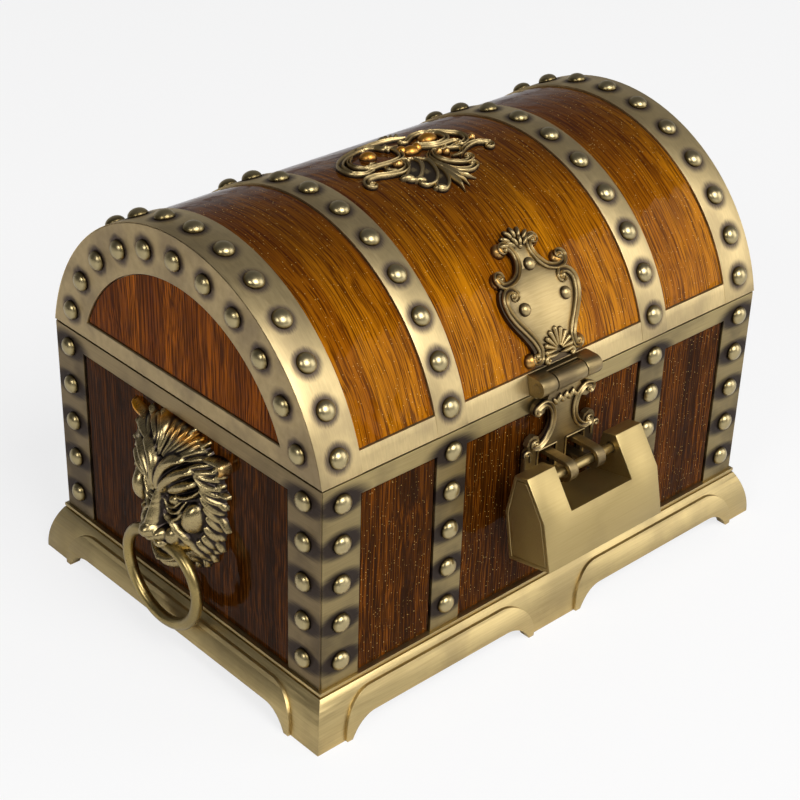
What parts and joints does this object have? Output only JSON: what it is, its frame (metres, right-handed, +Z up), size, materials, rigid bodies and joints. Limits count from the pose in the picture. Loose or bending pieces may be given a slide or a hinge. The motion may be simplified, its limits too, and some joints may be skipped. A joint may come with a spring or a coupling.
{
  "type": "treasure chest box",
  "caption": "Cast box with a barrel lid, enamelled wood-grain panels, riveted straps, lion-mask ring handles and a hasp closed by a sliding-bar padlock.",
  "frame": {"origin": "on the floor, in the middle of the whole box that holds the chest and its padlock", "axes": "+X to the right seen from the front, the front with the padlock faces -Y, +Z up"},
  "size_m": [0.2048, 0.1499, 0.1329],
  "materials": {
    "brass_cast": "antiqued, dark patina",
    "rivet_brass": "polished",
    "mask_metal": "antiqued, polished heights",
    "ornament_brass": "antiqued",
    "padlock_brass": "satin",
    "spring_steel": "plain",
    "hinge_brass": "satin",
    "enamel": "glossy translucent enamel",
    "velvet": "flocked velvet",
    "bottom_metal": "plain"
  },
  "bodies": {
    "chest": {"base_front": "brass_cast", "base_back": "brass_cast", "base_left": "brass_cast", "base_right": "brass_cast", "front_wall": "brass_cast", "back_wall": "brass_cast", "left_wall": "brass_cast", "right_wall": "brass_cast", "front_rivets": "rivet_brass", "back_rivets": "rivet_brass", "left_rivets": "rivet_brass", "right_rivets": "rivet_brass", "lion_masks": "mask_metal", "staple_left": "ornament_brass", "staple_right": "ornament_brass", "hinge_body_leaves": "hinge_brass", "front_panel_left": "enamel", "front_panel_centre": "enamel", "front_panel_right": "enamel", "back_panel_left": "enamel", "back_panel_centre": "enamel", "back_panel_right": "enamel", "left_panel": "enamel", "right_panel": "enamel", "chest_lining": "velvet", "bottom_plate": "bottom_metal"},
    "lid": {"lid_barrel": "brass_cast", "lid_end_left": "brass_cast", "lid_end_right": "brass_cast", "lid_panels": "enamel", "lid_end_panels": "enamel", "lid_strap_rivets": "rivet_brass", "lid_end_rivets_left": "rivet_brass", "lid_end_rivets_right": "rivet_brass", "lid_lining": "velvet", "cartouche": "ornament_brass", "cartouche_studs": "rivet_brass", "top_ornament": "ornament_brass", "hasp_bracket": "ornament_brass", "hasp_pin": "ornament_brass", "hinge_lid_leaves": "hinge_brass"},
    "hasp": {"hasp": "ornament_brass"},
    "lock_case": {"padlock_case": "padlock_brass"},
    "lock_bolt": {"padlock_bar": "padlock_brass", "padlock_springs": "spring_steel"},
    "ring_left": {"ring_handle_left": "mask_metal"},
    "ring_right": {"ring_handle_right": "mask_metal"}
  },
  "joints": [
    {"name": "lid_open", "type": "hinge", "parent": "chest", "child": "lid", "pos_m": [0, 0.0716, 0.0811], "axis": [-1, 0, 0], "range_deg": [0, 100]},
    {"name": "hasp_swing", "type": "hinge", "parent": "lid", "child": "hasp", "pos_m": [0, -0.0546, 0.0845], "axis": [-1, 0, 0], "range_deg": [0, 110]},
    {"name": "padlock_off", "type": "slide", "parent": "chest", "child": "lock_case", "axis": [0, -1, 0], "range_m": [0, 0.12]},
    {"name": "lock_bar_draw", "type": "slide", "parent": "lock_case", "child": "lock_bolt", "axis": [-1, 0, 0], "range_m": [0, 0.046]},
    {"name": "ring_left_swing", "type": "hinge", "parent": "chest", "child": "ring_left", "pos_m": [-0.0955, 0.0084, 0.038], "axis": [0, 1, 0], "range_deg": [-4, 95]},
    {"name": "ring_right_swing", "type": "hinge", "parent": "chest", "child": "ring_right", "pos_m": [0.0955, 0.0084, 0.038], "axis": [0, -1, 0], "range_deg": [-4, 95]}
  ],
  "couplings": [
    {"joint": "hasp_swing", "follows": "padlock_off", "rad_per_m": 15.998}
  ]
}
